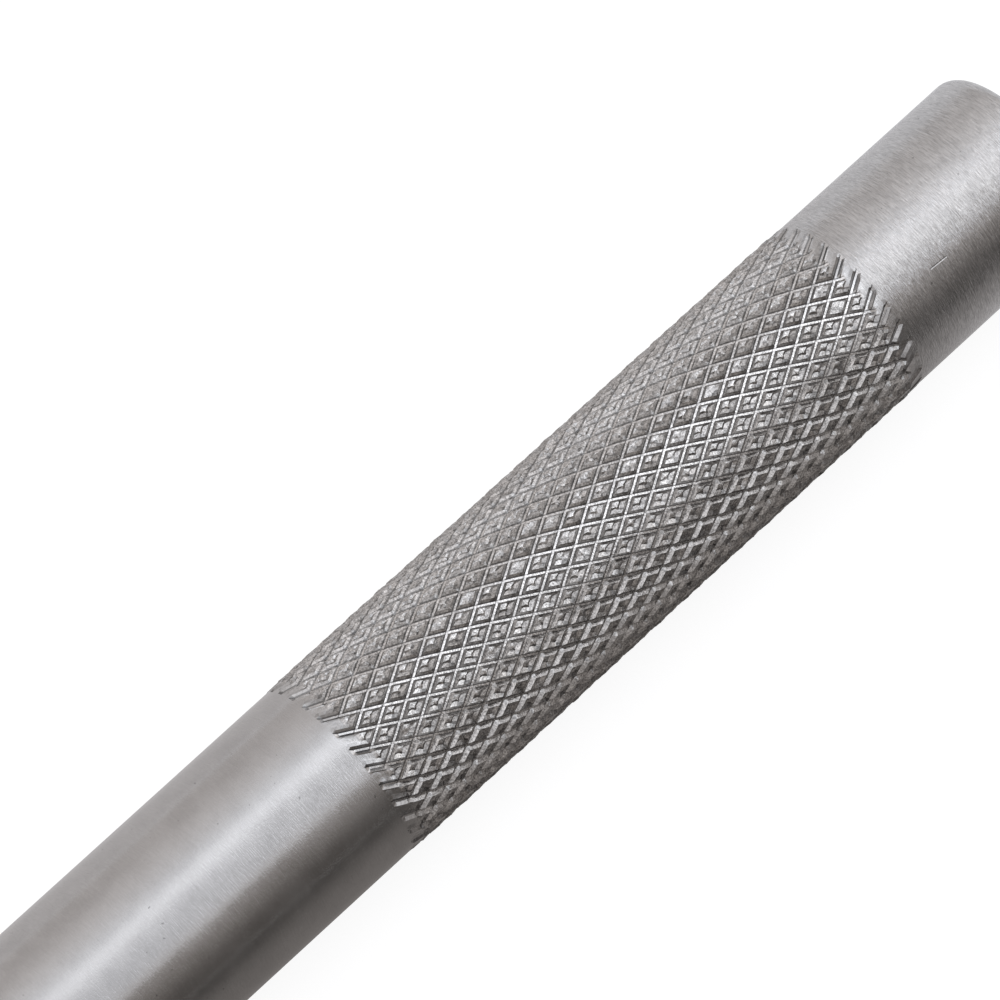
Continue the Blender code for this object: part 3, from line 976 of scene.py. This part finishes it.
# The tent's light by angle from straight up towards the front: its level, and the warmth of its colour.
# TENT is the middle of the tent, STRIKE_TENT the side towards the strike end, TENT_ENDS lies farther
# along the tool on both sides, and END_SCREENS are the screens past these ends
TENT = (
    (-90, 0.56, 0.026), (-70, 0.56, 0.026), (-50, 0.70, 0.015), (-33, 0.82, -0.01), (-21, 0.99, -0.035),
    (-14, 1.26, -0.035), (-6, 1.28, -0.035), (4, 0.92, -0.035), (15, 0.79, -0.035), (30, 0.73, -0.03),
    (38, 0.72, 0.0), (43, 0.35, 0.05), (60, 0.215, 0.066), (75, 0.12, 0.066), (90, 0.10, 0.066),
)
STRIKE_TENT = (
    (-90, 0.65, 0.01), (-70, 0.66, 0.005), (-50, 0.82, -0.02), (-33, 0.96, -0.03), (-21, 1.22, -0.055),
    (-14, 1.86, -0.06), (-6, 1.98, -0.06), (4, 1.46, -0.06), (15, 1.24, -0.06), (30, 1.36, -0.065),
    (40, 1.42, -0.065), (46, 0.76, -0.02), (60, 0.44, -0.01), (75, 0.20, -0.01), (90, 0.12, -0.01),
)
TENT_ENDS = (
    (-90, 0.56, 0.026), (-60, 0.60, 0.02), (-33, 0.72, 0.0), (0, 0.75, -0.02), (30, 0.72, -0.02),
    (43, 0.37, 0.05), (60, 0.215, 0.066), (75, 0.12, 0.066), (90, 0.10, 0.066),
)
END_SCREENS = (
    (-90, 0.58, 0.026), (-60, 0.75, 0.02), (-33, 1.2, 0.0), (-10, 1.4, -0.02), (8, 1.3, -0.02),
    (22, 0.64, 0.0), (36, 0.56, 0.02), (48, 0.54, 0.03), (62, 0.44, 0.05), (75, 0.24, 0.066),
    (90, 0.12, 0.066),
)

# How far a ray leans along the tool, as the X of its direction, where these take over from one another
STRIKE_TENT_LEAN = (0.305, 0.335)
TENT_MIDDLE = 0.2
TENT_ENDS_LEAN = (0.22, 0.38)
END_SCREENS_LEAN = (0.42, 0.56)

# A colour ramp stops at 1, so it holds the tent's levels divided by this strength
TENT_STRENGTH = 2.0
LIGHT_GREEN = 0.98

# The card's light by distance in front of the axis, as level and warmth: along the tool, and at its
# strike end, with the places from the strike face between which it changes
CARD_SIZE = 4.0
CARD_HEIGHT = -0.03 * MM
CARD_CHANGE = (-17 * MM, 1 * MM)
CARD = (
    (-0.010, 0.60, 0.01), (-0.004, 0.60, 0.01), (0.0, 0.26, 0.05), (0.0065, 0.21, 0.05),
    (0.0125, 0.195, 0.05), (0.0175, 0.175, 0.05), (0.030, 0.13, 0.05), (0.050, 0.10, 0.05),
)
STRIKE_CARD = (
    (-0.010, 0.76, -0.02), (-0.004, 0.78, -0.02), (0.0, 0.80, 0.0), (0.0065, 0.60, 0.0),
    (0.0125, 0.34, 0.01), (0.0175, 0.30, 0.02), (0.030, 0.20, 0.02), (0.050, 0.11, 0.03),
)

# Softbox above the strike end
SOFTBOX_PLACE = (0.257, -0.0865, 0.30)
SOFTBOX_SIZE = (0.30, 0.203)
SOFTBOX_POWER = 0.0765


def stage_plane(name, size, height):
    deselect_all()
    bpy.ops.mesh.primitive_plane_add(size=size, location=(0.0, 0.0, height))
    plane = bpy.context.object
    plane.name = plane.data.name = name
    material = bpy.data.materials.new(name)
    material.use_nodes = True
    plane.data.materials.append(material)
    tree = material.node_tree
    tree.nodes.remove(tree.nodes["Principled BSDF"])
    return plane, tree, tree.nodes["Material Output"].inputs["Surface"]


def make_floor():
    """White paper, which keeps the tool's soft shadow."""
    _, tree, surface = stage_plane("floor", FLOOR_SIZE, FLOOR_HEIGHT)
    path = tree.nodes.new("ShaderNodeLightPath").outputs
    seen = calculate(tree, "MAXIMUM", path["Is Camera Ray"], path["Is Glossy Ray"])
    seen = calculate(tree, "MAXIMUM", seen, path["Is Transmission Ray"])
    glow = calculate(tree, "MULTIPLY", seen, FLOOR_GLOW)
    paper = add_node(tree, "ShaderNodeBsdfDiffuse", Color=(FLOOR_PAPER, FLOOR_PAPER, FLOOR_PAPER, 1.0))
    light = add_node(tree, "ShaderNodeEmission", Strength=glow)
    both = add_node(tree, "ShaderNodeAddShader", i0=paper.outputs[0], i1=light.outputs[0])
    tree.links.new(both.outputs[0], surface)


def set_ramp(ramp, stops):
    """Sets a colour ramp's stops, as (position, level, warmth)."""
    elements = ramp.color_ramp.elements
    while len(elements) > 1:
        elements.remove(elements[-1])
    for index, (position, level, warmth) in enumerate(stops):
        element = elements[0] if index == 0 else elements.new(position)
        element.position = position
        element.color = (level * (1 + warmth), level * LIGHT_GREEN, level * (1 - warmth), 1.0)


def card_light(tree, split, stops):
    low, high = stops[0][0], stops[-1][0]
    share = add_node(tree, "ShaderNodeMapRange", Value=split.outputs["Y"], From_Min=-low, From_Max=-high)
    ramp = add_node(tree, "ShaderNodeValToRGB", Fac=share.outputs[0])
    set_ramp(ramp, [((away - low) / (high - low), level, warmth) for away, level, warmth in stops])
    return ramp.outputs["Color"]


def make_card():
    """A card that only reflections see: mid grey behind the tool, dark in front, lighter at its end."""
    card, tree, surface = stage_plane("reflection_card", CARD_SIZE, CARD_HEIGHT)
    card.visible_camera = card.visible_diffuse = card.visible_shadow = False
    split = add_node(tree, "ShaderNodeSeparateXYZ", i0=tree.nodes.new("ShaderNodeTexCoord").outputs["Object"])
    start, end = CARD_CHANGE
    at_strike = ramped(tree, split.outputs["X"], STRIKE_X + start, STRIKE_X + end)
    colour = blended(tree, at_strike, card_light(tree, split, CARD), card_light(tree, split, STRIKE_CARD))
    light = add_node(tree, "ShaderNodeEmission", Color=colour, Strength=1.0)
    tree.links.new(light.outputs[0], surface)


def make_softbox():
    deselect_all()
    bpy.ops.object.light_add(type="AREA", location=SOFTBOX_PLACE)
    softbox = bpy.context.object
    softbox.name = softbox.data.name = "softbox"
    softbox.data.shape = "RECTANGLE"
    softbox.data.size, softbox.data.size_y = SOFTBOX_SIZE
    softbox.data.energy = SOFTBOX_POWER
    softbox.visible_camera = False


def tent_light(tree, share, stops):
    ramp = add_node(tree, "ShaderNodeValToRGB", Fac=share)
    set_ramp(ramp, [((turn + 180) / 360, level / TENT_STRENGTH, warmth) for turn, level, warmth in stops])
    return ramp.outputs["Color"]


def make_tent():
    """Soft light from a tent: bright overhead, mid grey behind, dark in front, with screens past its ends."""
    world = bpy.data.worlds.new("light_tent")
    bpy.context.scene.world = world
    world.use_nodes = True
    tree = world.node_tree
    background = tree.nodes["Background"]
    place = tree.nodes.new("ShaderNodeTexCoord").outputs["Generated"]
    ray = add_node(tree, "ShaderNodeSeparateXYZ", i0=place)
    forward = calculate(tree, "MULTIPLY", ray.outputs["Y"], -1.0)
    angle = calculate(tree, "ARCTAN2", forward, ray.outputs["Z"])
    share = add_node(tree, "ShaderNodeMapRange", Value=angle, From_Min=-pi, From_Max=pi).outputs[0]
    at_strike = ramped(tree, ray.outputs["X"], *STRIKE_TENT_LEAN)
    colour = blended(tree, at_strike, tent_light(tree, share, TENT), tent_light(tree, share, STRIKE_TENT))
    past_middle = calculate(tree, "ABSOLUTE", calculate(tree, "SUBTRACT", ray.outputs["X"], TENT_MIDDLE))
    for lean, stops in ((TENT_ENDS_LEAN, TENT_ENDS), (END_SCREENS_LEAN, END_SCREENS)):
        colour = blended(tree, ramped(tree, past_middle, *lean), colour, tent_light(tree, share, stops))
    tree.links.new(colour, background.inputs["Color"])
    background.inputs["Strength"].default_value = TENT_STRENGTH


# Camera

CAMERA_AZIMUTH = radians(-44.227)
CAMERA_ELEVATION = radians(68.368)
CAMERA_DISTANCE = 326.7 * MM
CAMERA_FOCUS = 6871.5
AIM_FROM_STRIKE = 31.1 * MM
AIM_PIXEL = (562.0, 568.15)
IMAGE_SIZE = 1000.0


def make_camera():
    camera = bpy.data.objects.new("camera", bpy.data.cameras.new("camera"))
    bpy.context.scene.collection.objects.link(camera)
    bpy.context.scene.camera = camera
    camera.data.lens = CAMERA_FOCUS / IMAGE_SIZE * camera.data.sensor_width
    camera.data.clip_start = 10 * MM
    camera.data.clip_end = 100.0
    turn, rise = CAMERA_AZIMUTH, CAMERA_ELEVATION
    right = Vector((cos(turn), sin(turn), 0.0))
    back = Vector((sin(turn) * cos(rise), -cos(turn) * cos(rise), sin(rise)))
    up = back.cross(right)
    aim = AXIS_POINT + Vector((STRIKE_X - AIM_FROM_STRIKE, 0.0, 0.0))
    sideways = (AIM_PIXEL[0] - IMAGE_SIZE / 2) / CAMERA_FOCUS * CAMERA_DISTANCE
    upwards = (IMAGE_SIZE / 2 - AIM_PIXEL[1]) / CAMERA_FOCUS * CAMERA_DISTANCE
    place = aim - right * sideways - up * upwards + back * CAMERA_DISTANCE
    camera.matrix_world = Matrix.Translation(place) @ Matrix((right, up, back)).transposed().to_4x4()


bpy.context.scene.view_settings.view_transform = "Standard"
make_camera()
make_tent()
make_floor()
make_card()
make_softbox()
dress(make_handle(), "handle", turned_steel())
dress(make_washer(), "lock_washer", spring_steel())
dress(make_tube(), "punch_tube", tool_steel())
